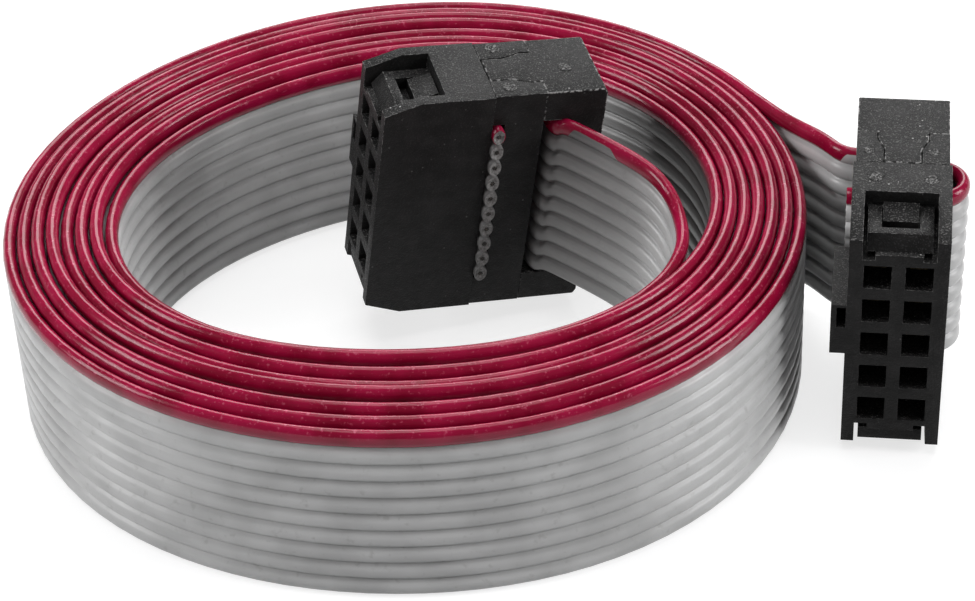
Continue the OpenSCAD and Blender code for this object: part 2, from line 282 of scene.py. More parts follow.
@dataclass(frozen=True)
class GreyJacket:
    """Grey insulation, drawn lengthwise, with a soft sheen and painted shade on two stretches."""

    colour: tuple = (0.53, 0.53, 0.53)
    shade: tuple = (0.44, 0.44, 0.44)
    roughness: float = 0.36
    gloss: float = 0.5
    soil: tuple = (0.33, 0.325, 0.32)
    soiled: float = 0.5
    # Colour and share of the painted shade: one stretch beside the inner socket, one on the first turn
    # behind the loop
    painted_shade: tuple = (0.15, 0.148, 0.146)
    painted_shade_share: float = 0.95
    drawn: tuple = (0.5, 34.0, 1.0)
    # Stretches of painted shade, in millimetres along the cable: where each starts, is full, starts to fade
    # and ends
    painted_shade_stretches: tuple = ((-2.0, -1.0, 14.0, 30.0), (115.0, 124.0, 135.0, 147.0))

    def colour_in(self, tree: Tree) -> Sock:
        """Colour that drifts a little along the cable, darkened on two stretches as painted shade.

        Args:
            tree: The tree to build it in.

        Returns:
            The colour.
        """
        drift = tree.noise(260.0).rise(0.35, 0.7)
        soiled = tree.noise(1800.0, 4.0).rise(0.58, 0.78) * self.soiled
        colour = tree.mix(soiled, tree.mix(drift, self.colour, self.shade), self.soil)
        # Painted shade: the listed stretches are darkened towards the painted shade colour
        along, painted_shade_mask = tree.part(tree.chart("strand"), 0), 0.0
        for first, full, fading, last in self.painted_shade_stretches:
            painted_shade_mask = along.rise(first, full) - along.rise(fading, last) + painted_shade_mask
        return tree.mix(painted_shade_mask * self.painted_shade_share, colour, self.painted_shade)

    def surface(self, tree: Tree, colour: Sock) -> bpy.types.Material:
        """Roughness and bump that every strand shares.

        Args:
            tree: The tree to build them in.
            colour: The base colour.

        Returns:
            The finished material.
        """
        inputs = {"Vector": tree.chart("strand"), "Scale": self.drawn}
        drawn = tree.node("ShaderNodeMapping", None, inputs)
        height = tree.noise(1.0, 3.0, drawn) + tree.noise(5200.0, 2.0) * 0.4
        rough = tree.noise(900.0) * 0.16 + tree.noise(6000.0) * 0.1 + (self.roughness - 0.13)
        bump = tree.bump(height, 0.3, 0.03 * MM)
        return tree.finish(Base_Color=colour, Roughness=rough, Normal=bump, Specular_IOR_Level=self.gloss)

    def material(self) -> bpy.types.Material:
        """The plain strands' material."""
        tree = Tree("grey_jacket")
        return self.surface(tree, self.colour_in(tree))


@dataclass(frozen=True)
class RedInk(GreyJacket):
    """The edge strand: red ink over the grey, ending at the web and rubbed off beside both sockets, with
    pale pink flecks along its crest that are partly wear and partly a painted highlight.
    """

    ink: tuple = (0.31, 0.005, 0.042)
    deep_ink: tuple = (0.21, 0.002, 0.022)
    # Pale pink of the crest flecks: partly worn ink, partly a painted highlight
    pink_wear_and_highlight: tuple = (0.52, 0.10, 0.17)
    worn: float = 0.6
    ragged: float = 0.35
    roughness: float = 0.17
    gloss: float = 0.28
    # Painted shade colour for the grey of the edge strand on the same stretches
    painted_shade: tuple = (0.055, 0.053, 0.052)
    web_edge: float = -0.86
    bare: tuple = ((17.2, 20.4), (1097.6, 1103.0))
    bare_above: float = 0.42

    def material(self) -> bpy.types.Material:
        """The edge strand's material."""
        tree = Tree("red_edge")
        along = tree.part(tree.chart("strand"), 0)
        across = tree.part(tree.chart("place"), 0)
        face = tree.part(tree.chart("place"), 1)
        ink = tree.mix(tree.noise(420.0).rise(0.3, 0.7), self.ink, self.deep_ink)
        # Flecks towards the strand's free top edge: partly worn ink, partly a painted highlight along the
        # crest
        wear_and_highlight_flecks = tree.noise(4200.0, 4.0).rise(0.58, 0.7) * across.rise(0.1, 0.8)
        ink = tree.mix(wear_and_highlight_flecks * self.worn, ink, self.pink_wear_and_highlight)
        ragged = across + (tree.noise(900.0, 3.0) - 0.5) * self.ragged
        rubbed = 0.0
        for first, last in self.bare:
            rubbed = along.rise(first - 0.4, first + 0.2) - along.rise(last - 0.5, last + 0.5) + rubbed
        rubbed = rubbed * face.rise(-0.1, 0.1)
        edge = rubbed * (self.bare_above - self.web_edge) + self.web_edge
        inked = (ragged - edge).rise(-0.03, 0.05)
        return self.surface(tree, tree.mix(inked, self.colour_in(tree), ink))


@dataclass(frozen=True)
class CutJacket:
    """Cut insulation, rougher and darker than the drawn surface."""

    colour: tuple = (0.30, 0.295, 0.29)
    scored: tuple = (0.14, 0.138, 0.135)

    def material(self) -> bpy.types.Material:
        """The cut face's material."""
        tree = Tree("cut_jacket")
        colour = tree.mix(tree.noise(5200.0, 3.0).rise(0.38, 0.66), self.colour, self.scored)
        bump = tree.bump(tree.noise(7000.0, 3.0), 0.6, 0.03 * MM)
        return tree.finish(Base_Color=colour, Roughness=0.7, Normal=bump)


@dataclass(frozen=True)
class MouldedBlack:
    """Black moulded plastic: satin, coarsely grained, its edges chipped pale, with rough mould marks."""

    name: str
    colour: tuple = (0.0085, 0.0083, 0.0083)
    cloud: tuple = (0.016, 0.0155, 0.0155)
    fleck: tuple = (0.11, 0.108, 0.106)
    scuff: tuple = (0.42, 0.415, 0.41)
    roughness: float = 0.5
    gloss: float = 0.12
    chipped: float = 0.0
    chipped_from: float = 11.0
    chipped_full: float = 17.0
    marked_share: float = 0.45
    scuffed: float = 0.85
    marks: tuple = (
        (24.34, -6.82, 17.3, 0.6),
        (27.7, -7.5, 17.3, 0.55),
        (24.28, -3.92, 17.3, 0.42),
        (28.26, -4.45, 17.3, 0.45),
        (1.0, 6.59, 19.41, 0.6),
        (2.06, 2.47, 18.98, 0.55),
        (5.67, 5.14, 18.64, 0.5),
    )

    def marked(self, tree: Tree) -> Sock:
        """Where the mould's marks are.

        Args:
            tree: The tree to build it in.

        Returns:
            1 in a mark and 0 beside it.
        """
        place, marked = tree.place(), 0.0
        for x, y, z, r in self.marks:
            centre = (x * MM, y * MM, z * MM)
            ends = {0: place, 1: centre}
            away = tree.node("ShaderNodeVectorMath", {"operation": "DISTANCE"}, ends, "Value")
            marked = (1.0 - away / (r * MM)).rise(0.0, 0.3).most(marked)
        return marked

    def material(self) -> bpy.types.Material:
        """The moulded pieces' material."""
        tree = Tree(self.name)
        grain, coarse = tree.noise(9500.0, 3.0), tree.noise(2600.0, 3.0)
        level = tree.part(tree.node("ShaderNodeNewGeometry", None, None, "Normal"), 2).rise(0.5, 0.95)
        colour = tree.mix(tree.noise(800.0, 4.0).rise(0.35, 0.75), self.colour, self.cloud)
        colour = tree.mix(grain.rise(0.54, 0.66) * (level * 0.8 + 0.12), colour, self.fleck)
        high = tree.part(tree.place(), 2).rise(self.chipped_from * MM, self.chipped_full * MM) * 0.75 + 0.25
        chips = tree.noise(3800.0, 4.0).rise(0.47, 0.57) * high * self.chipped
        dots = tree.node("ShaderNodeTexVoronoi", None, {"Vector": tree.place(), "Scale": 1500.0})
        dust = (0.1 - dots).rise(0.0, 0.03) * tree.noise(450.0).rise(0.46, 0.58) * (level * 0.8 + 0.2)
        marked = self.marked(tree) if self.marks else 0.0
        rough_mark = tree.noise(7500.0, 4.0).rise(0.5, 0.6) * marked * self.marked_share
        colour = tree.mix(chips.most(dust).most(rough_mark) * self.scuffed, colour, self.scuff)
        height = grain + coarse + tree.noise(3500.0, 4.0) * marked * 3.0
        bump = tree.bump(height, 1.0, 0.05 * MM)
        rough = grain * 0.9 + coarse * 0.3 + (self.roughness - 0.6)
        return tree.finish(Base_Color=colour, Roughness=rough, Normal=bump, Specular_IOR_Level=self.gloss)


@dataclass(frozen=True)
class SpringMetal:
    """Rolled and plated contact metal, coloured dark as painted shade for the holes it sits in, with
    tarnished patches.
    """

    # Dark metal colour: painted shade for the deep contact holes
    colour: tuple = (0.20, 0.165, 0.10)
    tarnish: tuple = (0.07, 0.06, 0.045)

    def material(self) -> bpy.types.Material:
        """The contacts' material."""
        tree = Tree("spring_metal")
        colour = tree.mix(tree.noise(2400.0, 3.0).rise(0.4, 0.7), self.colour, self.tarnish)
        rough = tree.noise(3000.0, 2.0) * 0.25 + 0.3
        bump = tree.bump(tree.noise(5000.0), 0.2, 0.01 * MM)
        return tree.finish(Base_Color=colour, Roughness=rough, Metallic=1.0, Normal=bump)


@dataclass(frozen=True)
class CutWire:
    """Cut stranded wire, coloured dark as painted shade for its recess."""

    # Dark colour: painted shade for the wire ends in the cut face
    colour: tuple = (0.035, 0.032, 0.03)
    bright: tuple = (0.16, 0.13, 0.11)

    def material(self) -> bpy.types.Material:
        """The conductor ends' material."""
        tree = Tree("cut_wire")
        colour = tree.mix(tree.noise(9000.0).rise(0.55, 0.7), self.colour, self.bright)
        bump = tree.bump(tree.noise(12000.0), 0.4, 0.01 * MM)
        return tree.finish(Base_Color=colour, Roughness=0.55, Metallic=0.6, Normal=bump)


@dataclass(frozen=True)
class PalePaper:
    """The floor's plain white, which the camera sees lifted to the background's white."""

    colour: tuple = (0.4, 0.4, 0.4)
    mottle: tuple = (0.395, 0.395, 0.4)
    lift: float = 0.73

    def material(self) -> bpy.types.Material:
        """The floor's material."""
        tree = Tree("pale_paper")
        colour = tree.mix(tree.noise(6.0).rise(0.3, 0.7), self.colour, self.mottle)
        lifted = tree.mix(tree.seen(), (0.0, 0.0, 0.0), (self.lift, self.lift, self.lift))
        tree.finish(Base_Color=colour, Roughness=0.9, Specular_IOR_Level=0.1)
        return tree.finish(Emission_Color=lifted, Emission_Strength=1.0)


# Shapes


def unit(vector: np.ndarray) -> np.ndarray:
    """Vectors scaled to length 1 along the last axis."""
    return vector / np.linalg.norm(vector, axis=-1, keepdims=True)


def directions(points: np.ndarray) -> np.ndarray:
    """Tangents of a polyline.

    Args:
        points: The points, one a row.

    Returns:
        Unit tangents, each the mean of the two segments that meet there.
    """
    steps = unit(np.diff(points, axis=0))
    return unit(np.vstack([steps[:1], steps[:-1] + steps[1:], steps[-1:]]))


@dataclass
class Ribbon:
    """Sizes of the flat cable, in millimetres."""

    strands: int = 10
    pitch: float = 1.27
    thickness: float = 0.84
    lobe: tuple = (
        (0.0, 0.42),
        (0.12, 0.415),
        (0.24, 0.396),
        (0.34, 0.36),
        (0.43, 0.302),
        (0.5, 0.24),
        (0.55, 0.183),
        (0.595, 0.14),
        (0.635, 0.125),
    )
    free: tuple = (
        (0.0, 0.42),
        (0.12, 0.412),
        (0.24, 0.388),
        (0.34, 0.35),
        (0.43, 0.29),
        (0.5, 0.225),
        (0.55, 0.16),
        (0.59, 0.085),
        (0.605, 0.0),
    )

    @property
    def width(self) -> float:
        """Width over all the strands."""
        return self.strands * self.pitch

    def height_of(self, number: int) -> float:
        """Place of a strand across the ribbon.

        Args:
            number: The strand, 1 at the red edge.

        Returns:
            Height over the ribbon's middle.
        """
        return ((self.strands + 1) / 2 - number) * self.pitch

    def section(self, number: int) -> np.ndarray:
        """Outline of one strand with its half webs.

        Args:
            number: The strand; the two edge strands have no web on their free side.

        Returns:
            Points (out of the ribbon's plane, up across it), anticlockwise.
        """
        upper = self.free if number == 1 else self.lobe
        lower = self.free if number == self.strands else self.lobe
        side = [(half, -height) for height, half in reversed(lower[1:])]
        side += [(half, height) for height, half in upper]
        other = [(-x, y) for x, y in reversed(side)]
        if number == 1:
            other = other[1:]
        if number == self.strands:
            other = other[:-1]
        return np.array(side + other)


@dataclass
class SocketPlace:
    """Where a socket stands: its own frame has the mating face at y = 0 and its length along z."""

    side: Side
    at: tuple
    side_lean: float
    back_lean: float
    turn: float
    flipped: bool
    slant: float
    bend: float
    bend_r: float
    inset: float = 0.1

    def rotation(self) -> np.ndarray:
        """The frame's rotation as a matrix."""
        turn = Matrix.Rotation(math.radians(self.turn), 3, "Z")
        tilt = Matrix.Rotation(math.radians(self.back_lean), 3, "Y")
        tilt = tilt @ Matrix.Rotation(math.radians(self.side_lean), 3, "X")
        own = Matrix.Rotation(math.radians(-90 if self.side is Side.INNER else 0), 3, "Z")
        return np.array(turn @ tilt @ own)

    def out(self, points: np.ndarray) -> np.ndarray:
        """Points of the socket's frame in the coil's frame, in millimetres."""
        return np.atleast_2d(points) @ self.rotation().T + np.array(self.at)


@dataclass
class Fold:
    """The ribbon's way through a socket: in at the strain relief, round the cover and back under it."""

    ribbon: Ribbon
    width: float = 6.1
    length: float = 17.3
    body: float = 7.25
    cover: float = 3.45
    proud: float = 0.3
    beyond: float = 0.85
    straight: float = 1.0
    turn_points: int = 33
    slot_shares: tuple = (0.15, 0.5, 0.85)
    bend_points: int = 17

    def points(self, place: SocketPlace) -> np.ndarray:
        """Centre line from the cut end to where the ribbon is free.

        Args:
            place: The socket.

        Returns:
            Points in the coil's frame, in millimetres.
        """
        half = self.ribbon.thickness / 2
        front, rear = self.body + half, self.body + self.cover + half
        middle, r = (front + rear) / 2, (rear - front) / 2
        x = self.width + self.beyond - r
        slant, bend = math.radians(place.slant), math.radians(place.bend)
        flat = [(-self.proud, front), (self.straight, front), (x - self.straight, front)]
        for a in np.linspace(-math.pi / 2, math.pi / 2 - slant, self.turn_points):
            flat.append((x + r * math.cos(a), middle + r * math.sin(a)))
        turned = np.array(flat[-1])
        mouth = np.array([-place.inset, turned[1] + (turned[0] + place.inset) * math.tan(slant)])
        flat += [tuple(turned + (mouth - turned) * share) for share in self.slot_shares]
        for a in np.linspace(slant, bend, self.bend_points):
            round_bend = np.array([math.sin(slant) - math.sin(a), math.cos(slant) - math.cos(a)])
            flat.append(tuple(mouth + place.bend_r * round_bend))
        line = np.array([(px, py, self.length / 2) for px, py in flat])
        if place.flipped:
            line[:, 0] = self.width - line[:, 0]
        return place.out(line)


@dataclass
class Coil:
    """The spiral that the ribbon lies in, in millimetres, clockwise from its inner end."""

    centre: tuple = (-6.5, -5.5)
    radius: float = 17.5
    oval: float = 1.4
    front: float = 1.0
    right: float = 0.55
    skew: float = 0.27
    third: tuple = (-0.2, -0.33)
    pitch: float = 0.96
    pitch_side: float = -0.045
    pitch_back: float = 0.09
    pitch_left: float = -0.03
    pitch_skew: float = -0.03
    front_gap: float = 0.64
    loose_after: tuple = (1.5, 4.5)
    start: float = -50 / 360
    stop: float = 7.64
    lift_turns: tuple = (-0.2, 0.1, 0.6, 1.0, 2.0, 2.6, 3.0, 3.5, 4.0, 5.0, 6.0, 6.6, 7.3, 7.7)
    lifts: tuple = (0.0, 0.0, 0.35, 0.65, 0.6, 0.45, 0.25, 0.4, 0.65, 0.6, 0.35, 0.1, 0.0, 0.0)

    def beside(self, turns: "float | np.ndarray", out: float) -> np.ndarray:
        """Points beside the spiral.

        Args:
            turns: Turns from the front of the first one.
            out: Distance outwards from the spiral.

        Returns:
            Points in the plane.
        """
        t = np.asarray(turns, float)
        a = np.radians(270 - 360 * t)
        first = self.radius + self.oval * np.cos(2 * a) + self.skew * np.sin(2 * a)
        first = first + self.right * np.cos(a) - self.front * np.sin(a)
        first = first + self.third[0] * np.cos(3 * a) + self.third[1] * np.sin(3 * a)
        step = self.pitch + self.pitch_side * np.cos(2 * a) + self.pitch_skew * np.sin(2 * a)
        step = step + self.pitch_left * np.cos(a) + self.pitch_back * np.sin(a)
        loose = sum((t > k).astype(float) for k in self.loose_after)
        r = first + step * t + self.front_gap * loose * np.maximum(0.0, -np.sin(a)) ** 2 + out
        return np.array(self.centre) + np.stack([r * np.cos(a), r * np.sin(a)], axis=-1)

    def way(self, turns: float) -> np.ndarray:
        """Direction of travel along the spiral, level."""
        ahead, behind = self.beside(turns + 0.0005, 0.0), self.beside(turns - 0.0005, 0.0)
        return np.append(unit(ahead - behind), 0.0)

    def lift(self, turns: np.ndarray) -> np.ndarray:
        """How far each turn sits off the floor."""
        return np.interp(turns, self.lift_turns, self.lifts)

    def points(self, middle: float, per_turn: int = 90) -> np.ndarray:
        """Centre line of the coil.

        Args:
            middle: Height of the ribbon's middle.
            per_turn: Points in each turn.

        Returns:
            Points in millimetres.
        """
        count = math.ceil((self.stop - self.start) * per_turn)
        t = np.linspace(self.start, self.stop, count + 1)
        flat = self.beside(t, 0.0)
        return np.column_stack([flat, middle + self.lift(t)])


@dataclass
class Lead:
    """A free stretch of ribbon between a socket and the coil."""

    route: "list[np.ndarray]"
    start: np.ndarray
    start_way: np.ndarray
    stop: np.ndarray
    stop_way: np.ndarray
    start_up: np.ndarray
    stop_up: np.ndarray
    rings: int = 60
    lead_in: float = 1.176

    def _at(self, share: float) -> np.ndarray:
        """Point of the smooth curve through the route, share from 0 to 1."""
        k = [self.start - self.lead_in * self.start_way, self.start, *self.route]
        k += [self.stop, self.stop + self.lead_in * self.stop_way]
        n = len(k) - 3
        i = min(int(share * n), n - 1)
        f = share * n - i
        a, b, c, d = k[i : i + 4]
        return 0.5 * (
            2 * b + (c - a) * f + (2 * a - 5 * b + 4 * c - d) * f**2 + (3 * b - a - 3 * c + d) * f**3
        )

    def points(self) -> np.ndarray:
        """Centre line in millimetres."""
        return np.array([self._at(i / self.rings) for i in range(self.rings + 1)])

    def ups(self) -> np.ndarray:
        """Direction across the ribbon at each point, eased from one end to the other."""
        s = np.linspace(0, 1, self.rings + 1)[:, None]
        eased = s * s * (3 - 2 * s)
        return unit(self.start_up + (self.stop_up - self.start_up) * eased)


@dataclass
class CableRoute:
    """The whole centre line, from the inner socket's cut end to the outer socket's."""

    ribbon: Ribbon
    coil: Coil
    fold: Fold
    inner: SocketPlace
    outer: SocketPlace
    inner_open: tuple = (
        (0.058, -0.049, -0.04),
        (0.281, -0.235, 0.286),
        (0.439, -0.307, 0.487),
        (0.606, -0.314, 0.693),
    )
    inner_near: tuple = ((-0.1846, -0.636, 0.2), (-0.1617, -0.07, 0.07))
    outer_near: tuple = ((7.665, 0.0, 0.022), (7.69, -0.12, 0.145), (7.71, 0.05, 0.37))
    outer_open: tuple = ((0.763, -0.009, 0.665), (0.896, -0.001, 0.917))
    points: np.ndarray = field(init=False)
    ups: np.ndarray = field(init=False)
    exit_index: int = field(init=False)
    low: np.ndarray = field(init=False)

    def __post_init__(self) -> None:
        """Joins the five stretches."""
        middle = self.ribbon.width / 2
        coil = self.coil
        inner, outer = self.fold.points(self.inner), self.fold.points(self.outer)[::-1]
        inner_up, outer_up = self.inner.rotation()[:, 2], self.outer.rotation()[:, 2]
        wound = coil.points(middle)
        top_in, top_out = inner[-1][2], outer[0][2]
        lead_in = Lead(
            [self._by_share(inner[-1], wound[0], share) for share in self.inner_open]
            + [self._by_turn(share, top_in) for share in self.inner_near],
            inner[-1],
            unit(inner[-1] - inner[-2]),
            wound[0],
            coil.way(coil.start),
            inner_up,
            UP,
        )
        lead_out = Lead(
            [self._by_turn(share, top_out) for share in self.outer_near]
            + [self._by_share(wound[-1], outer[0], share) for share in self.outer_open],
            wound[-1],
            coil.way(coil.stop),
            outer[0],
            unit(outer[1] - outer[0]),
            UP,
            outer_up,
        )
        self.points = np.vstack(
            [inner, lead_in.points()[1:], wound[1:], lead_out.points()[1:], outer[1:]]
        )
        self.ups = np.vstack(
            [
                np.tile(inner_up, (len(inner), 1)),
                lead_in.ups()[1:],
                np.tile(UP, (len(wound) - 1, 1)),
                lead_out.ups()[1:],
                np.tile(outer_up, (len(outer) - 1, 1)),
            ]
        )
        self.exit_index = len(inner) - 1
        self.low = wound.min(axis=0)

    def _by_share(self, first: np.ndarray, last: np.ndarray, share: tuple) -> np.ndarray:
        """Point in the open, by shares of the way from the first end to the last.

        Args:
            first: The first end.
            last: The last end.
            share: Shares along the way, beside it and up it.

        Returns:
            The point.
        """
        way = last - first
        along, beside, rise = share
        flat = first[:2] + along * way[:2] + beside * np.array([way[1], -way[0]])
        return np.append(flat, first[2] + rise * way[2])

    def _by_turn(self, share: tuple, top: float) -> np.ndarray:
        """Point at the coil.

        Args:
            share: The turn, thicknesses of the ribbon beside it, and share of the rise to the socket.
            top: The height at the socket.

        Returns:
            The point.
        """
        turn, beside, rise = share
        middle = self.ribbon.width / 2
        flat = self.coil.beside(turn, beside * self.ribbon.thickness)
        return np.append(flat, middle + rise * (top - middle))

    def sides(self) -> np.ndarray:
        """Direction out of the ribbon's plane at each point."""
        return unit(np.cross(directions(self.points), self.ups))


@dataclass
class FlatCable:
    """Ten insulated strands side by side, the edge one inked red."""

    route: CableRoute
    shift: np.ndarray
    jacket: bpy.types.Material
    edge: bpy.types.Material
    cut: bpy.types.Material
    rim: tuple = ((0.9, 0.03), (0.7, -0.02), (0.35, -0.05))
    ragged: float = 0.012
    cad: tuple = (
        "cable_coil",
        "cable_inner_lead",
        "cable_inner_fold",
        "cable_outer_lead",
        "cable_outer_fold",
    )

    def build(self, far_pieces: "list[bpy.types.Object]") -> "list[bpy.types.Object]":
        """Makes the strands.

        Args:
            far_pieces: The CAD nodes of the socket on the cable's far end; not used.

        Returns:
            The strands.
        """
        made = []
        for number in range(1, self.route.ribbon.strands + 1):
            strand, path = self._strand(number)
            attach(strand, ROOT)
            made.append(strand)
        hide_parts(*self.cad)
        return made

    def _strand(self, number: int) -> "tuple[bpy.types.Object, np.ndarray]":
        """Sweeps one strand's outline along the route.

        Args:
            number: The strand, 1 at the red edge.

        Returns:
            The object and its centre line in metres.
        """
        ribbon, route = self.route.ribbon, self.route
        outline = ribbon.section(number)
        sides, ups = route.sides(), route.ups
        centre = route.points + ups * ribbon.height_of(number)
        rings = centre[:, None] + sides[:, None] * outline[None, :, :1]
        rings = rings + ups[:, None] * outline[None, :, 1:]
        ways = directions(route.points)
        size = (2, len(self.rim), len(outline), 3)
        rough = np.random.default_rng(number).normal(0.0, self.ragged, size)
        first, last = [], []
        for k, step in enumerate(self.rim):
            first.append(self._rim(centre[0], rings[0], -ways[0], step, rough[0][k]))
            last.append(self._rim(centre[-1], rings[-1], ways[-1], step, rough[1][k]))
        rings = np.concatenate([first[::-1], rings, last]) * MM + self.shift
        count, around = len(rings), len(outline)
        faces = []
        for i in range(0, (count - 1) * around, around):
            for j in range(around):
                after = (j + 1) % around
                faces.append((i + j, i + after, i + around + after, i + around + j))
        faces.append(tuple(reversed(range(around))))
        faces.append(tuple((count - 1) * around + j for j in range(around)))
        mesh = bpy.data.meshes.new(f"strand_{number:02d}")
        mesh.from_pydata(rings.reshape(-1, 3).tolist(), [], faces)
        mesh.polygons.foreach_set("use_smooth", [True] * len(faces))
        mesh.materials.append(self.edge if number == 1 else self.jacket)
        mesh.materials.append(self.cut)
        ends = around * (len(self.rim) - 1)
        inside = [1] * ends + [0] * (len(faces) - 2 - 2 * ends) + [1] * ends + [1, 1]
        mesh.polygons.foreach_set("material_index", inside)
        self._map(mesh, centre, outline)
        strand = bpy.data.objects.new(f"strand_{number:02d}", mesh)
        bpy.context.scene.collection.objects.link(strand)
        return strand, centre * MM + self.shift

    def _rim(
        self, centre: np.ndarray, ring: np.ndarray, out: np.ndarray, step: tuple, rough: np.ndarray
    ) -> np.ndarray:
        """One smaller ring of a cut end.

        Args:
            centre: Middle of the strand at its end.
            ring: The outline there.
            out: Direction out of the cut end.
            step: Size of the smaller ring against the outline, and how far out it lies.
            rough: Shifts of its points.

        Returns:
            The ring's points in millimetres.
        """
        size, proud = step
        return centre + (ring - centre) * size + out * proud + rough

    def _map(self, mesh: bpy.types.Mesh, centre: np.ndarray, outline: np.ndarray) -> None:
        """Gives the strand its maps.

        Args:
            mesh: The strand's mesh. Its first map has millimetres along it and the share of the way round.
                The second has the place across it, from -1 to 1, and its face, -1 or 1.
            centre: Its centre line.
            outline: Its outline.
        """
        ends, around = len(self.rim), len(outline)
        along = np.concatenate([[0], np.cumsum(np.linalg.norm(np.diff(centre, axis=0), axis=1))])
        along = np.concatenate([[0] * ends, along, [along[-1]] * ends])
        i, j = np.meshgrid(np.arange(len(along) - 1), np.arange(around), indexing="ij")
        after = (j + 1) % around
        corners = ((i, j, j), (i, j + 1, after), (i + 1, j + 1, after), (i + 1, j, j))
        across = outline[:, 1] / (self.route.ribbon.pitch / 2)
        face = np.where(outline[:, 0] < 0, -1.0, 1.0)
        maps = {
            "strand": [np.stack([along[a], b / around], -1) for a, b, _ in corners],
            "place": [np.stack([across[c], face[c]], -1) for _, _, c in corners],
        }
        for name, values in maps.items():
            layer = mesh.uv_layers.new(name=name)
            sides, caps = np.stack(values, 2).reshape(-1, 2), np.zeros((2 * around, 2))
            layer.data.foreach_set("uv", np.vstack([sides, caps]).ravel())


@dataclass
class ConductorEnds:
    """The seven-wire conductors that show in a cut end."""

    route: CableRoute
    shift: np.ndarray
    wire: bpy.types.Material
    wires: int = 7
    wire_r: float = 0.055
    depth: float = 0.4
    spacing: float = 2.05
    step: float = 60.0
    twist: float = 17.0
    corners: int = 8
    dome: float = 0.01
    dome_size: float = 0.7

    def build(self, side: Side) -> bpy.types.Object:
        """Makes one socket's ten conductor ends.

        Args:
            side: The end of the cable.

        Returns:
            The wires as one object.
        """
        index = 0 if side is Side.INNER else -1
        out = directions(self.route.points)[index] * (-1 if side is Side.INNER else 1)
        n, up = self.route.sides()[index], self.route.ups[index]
        verts, faces = [], []
        for number in range(1, self.route.ribbon.strands + 1):
            centre = self.route.points[index] + up * self.route.ribbon.height_of(number)
            for k in range(self.wires):
                ring = 0.0 if k == 0 else self.spacing * self.wire_r
                a = math.radians(self.step * k + self.twist * number)
                middle = centre + (n * math.cos(a) + up * math.sin(a)) * ring
                self._wire(middle, out, n, up, verts, faces)
        mesh = bpy.data.meshes.new(f"{side.value}_conductors")
        mesh.from_pydata([tuple(v * MM + self.shift) for v in verts], [], faces)
        mesh.materials.append(self.wire)
        made = bpy.data.objects.new(mesh.name, mesh)
        bpy.context.scene.collection.objects.link(made)
        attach(made, ROOT)
        LOG.info("%s: %d wires", made.name, self.wires * self.route.ribbon.strands)
        return made

    def _wire(
        self, middle: np.ndarray, out: np.ndarray, n: np.ndarray, up: np.ndarray, verts: list, faces: list
    ) -> None:
        """Adds one wire as a short prism with a slightly domed end.

        Args:
            middle: The middle of its end.
            out: Direction out of the cut end.
            n: Direction out of the ribbon's plane.
            up: Direction across the ribbon.
            verts: The points so far, added to.
            faces: The faces so far, added to.
        """
        sides, base, tip = self.corners, len(verts), self.wire_r * self.dome_size
        for reach, r in ((-self.depth, self.wire_r), (-self.dome, self.wire_r), (0.0, tip)):
            for s in range(sides):
                a = 2 * math.pi * s / sides
                verts.append(middle + out * reach + (n * math.cos(a) + up * math.sin(a)) * r)
        for level in range(2):
            for s in range(sides):
                a, b = base + level * sides + s, base + level * sides + (s + 1) % sides
                faces.append((a, b, b + sides, a + sides))
        faces.append(tuple(base + 2 * sides + s for s in range(sides)))
        faces.append(tuple(base + s for s in reversed(range(sides))))


@dataclass
class Socket:
    """One socket: its three mouldings with softened edges, and its contacts."""

    side: Side
    housing: bpy.types.Material
    cover: bpy.types.Material
    worn: bpy.types.Material
    metal: bpy.types.Material
    contacts: int = 10
    softened: float = 0.085
    segments: int = 2
    merged: float = 0.001
    flat_within: float = 1.0
    edge_from: float = 25.0
    mouldings: tuple = ("socket_body", "socket_cover", "strain_relief")

    def build(self, nodes: "dict[str, bpy.types.Object]") -> "list[bpy.types.Object]":
        """Makes the mouldings and dresses the contacts.

        Args:
            nodes: All the CAD nodes by name.

        Returns:
            The socket's pieces.
        """
        pieces = [self._moulding(nodes[f"{self.side.value}_{name}"]) for name in self.mouldings]
        for number in range(1, self.contacts + 1):
            contact = nodes[f"{self.side.value}_contact_{number:02d}"]
            contact.data.materials.clear()
            contact.data.materials.append(self.metal)
            pieces.append(contact)
        LOG.info("%s socket: %d pieces", self.side.value, len(pieces))
        return pieces

    def _moulding(self, node: bpy.types.Object) -> bpy.types.Object:
        """Copies a CAD node's shape, with every edge softened as moulded edges are.

        Args:
            node: The CAD node that the copy stands in for.

        Returns:
            The copy.
        """
        mesh = bpy.data.meshes.new(f"{node.name}_moulded")
        shape = bmesh.new()
        shape.from_mesh(node.data)
        shape.transform(node.matrix_world)
        bmesh.ops.remove_doubles(shape, verts=shape.verts, dist=self.merged * MM)
        flat = math.radians(self.flat_within)
        bmesh.ops.dissolve_limit(shape, angle_limit=flat, verts=shape.verts, edges=shape.edges)
        shape.to_mesh(mesh)
        shape.free()
        mesh.polygons.foreach_set("use_smooth", [True] * len(mesh.polygons))
        mesh.materials.append(self.housing if "body" in node.name else self.cover)
        mesh.materials.append(self.worn)
        made = bpy.data.objects.new(mesh.name, mesh)
        bpy.context.scene.collection.objects.link(made)
        bevel = made.modifiers.new("softened", "BEVEL")
        bevel.width, bevel.segments = self.softened * MM, self.segments
        bevel.limit_method, bevel.angle_limit = "ANGLE", math.radians(self.edge_from)
        bevel.harden_normals, bevel.material = True, 1
        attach(made, ROOT)
        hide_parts(node.name)
        LOG.info("%s: %d faces, %s", made.name, len(mesh.polygons), mesh.materials[0].name)
        return made


